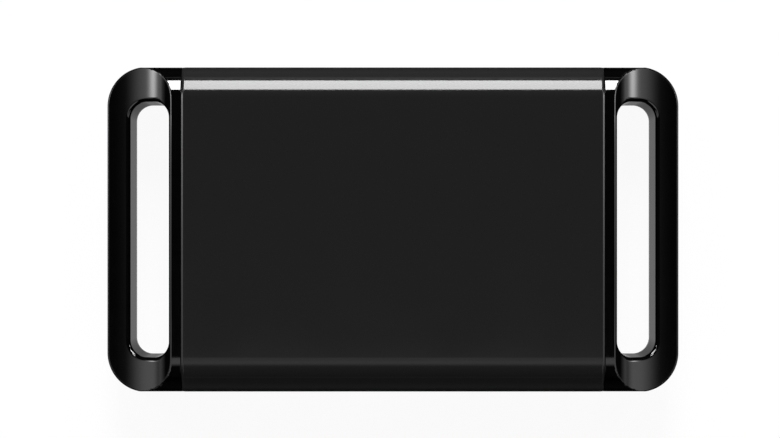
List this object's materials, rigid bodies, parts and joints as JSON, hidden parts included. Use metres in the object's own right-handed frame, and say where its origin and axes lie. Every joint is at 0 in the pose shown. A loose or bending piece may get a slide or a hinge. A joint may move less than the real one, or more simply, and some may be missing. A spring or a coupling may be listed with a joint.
{
  "type": "gps tracker",
  "caption": "Slim rectangular gps tracker with a strap loop at each end, a satin wrap-round front cover, a screwed rear cover and a side button.",
  "frame": {"origin": "centre of the rear face that the tracker lies on", "axes": "+X along the length from strap loop to strap loop, +Y across the width towards the plain long side, +Z out of the front face"},
  "size_m": [0.0706, 0.0398, 0.015],
  "materials": {
    "gloss_frame": "polished black moulding",
    "satin_cover": "satin dark grey moulding",
    "rear_plastic": "fine textured black moulding",
    "tape": "acrylic bonding tape",
    "silicone": "silicone rubber",
    "black_steel": "blackened steel",
    "brass": "turned brass",
    "label_film": "blank matt label film",
    "membrane": "vent membrane",
    "board": "green solder mask on glass laminate",
    "steel": "plain steel",
    "chip_plastic": "moulded epoxy",
    "ceramic": "unglazed ceramic",
    "silver": "silver or nickel plating",
    "tin_plate": "tin plated sheet",
    "card_plastic": "white card",
    "flex_film": "amber polyimide film",
    "gold_plate": "gold plating",
    "cell_foil": "pouch foil",
    "foam": "foam",
    "lead_jacket": "insulated wire",
    "connector_plastic": "ivory plastic",
    "button_plastic": "satin black button",
    "seal_rubber": "red brown O-ring rubber",
    "lamp_plastic": "lamp lens",
    "clear_pipe": "clear light pipe"
  },
  "bodies": {
    "root": {"main_frame": "gloss_frame", "front_cover": "satin_cover", "front_tape": "tape", "rear_cover": "rear_plastic", "rear_gasket": "silicone", "rear_screws": "black_steel", "frame_inserts": "brass", "rear_label": "label_film", "vent_membrane": "membrane", "main_board": "board", "board_screws": "steel", "board_chips": "chip_plastic", "gnss_antenna": "ceramic", "gnss_electrode": "silver", "gnss_tape": "tape", "modem_module": "board", "modem_shield": "tin_plate", "sim_socket": "tin_plate", "sim_card": "card_plastic", "cell_antenna": "flex_film", "antenna_clip": "gold_plate", "battery_cell": "cell_foil", "battery_guard": "flex_film", "battery_pad": "foam", "battery_leads": "lead_jacket", "battery_plug": "connector_plastic", "battery_header": "connector_plastic", "switch_body": "chip_plastic", "switch_dome": "steel", "status_lamps": "lamp_plastic", "light_pipes": "clear_pipe", "charge_pads": "gold_plate", "charge_barrels": "gold_plate", "charge_pins": "gold_plate", "charge_magnets": "silver"},
    "button": {"power_button": "button_plastic", "button_seal": "seal_rubber", "switch_plunger": "connector_plastic"}
  },
  "joints": [
    {"name": "button_press", "type": "slide", "parent": "root", "child": "button", "axis": [0, 1, 0], "range_m": [0, 0.0003], "stiffness_N_per_m": 1500, "springref_m": -0.0002}
  ]
}
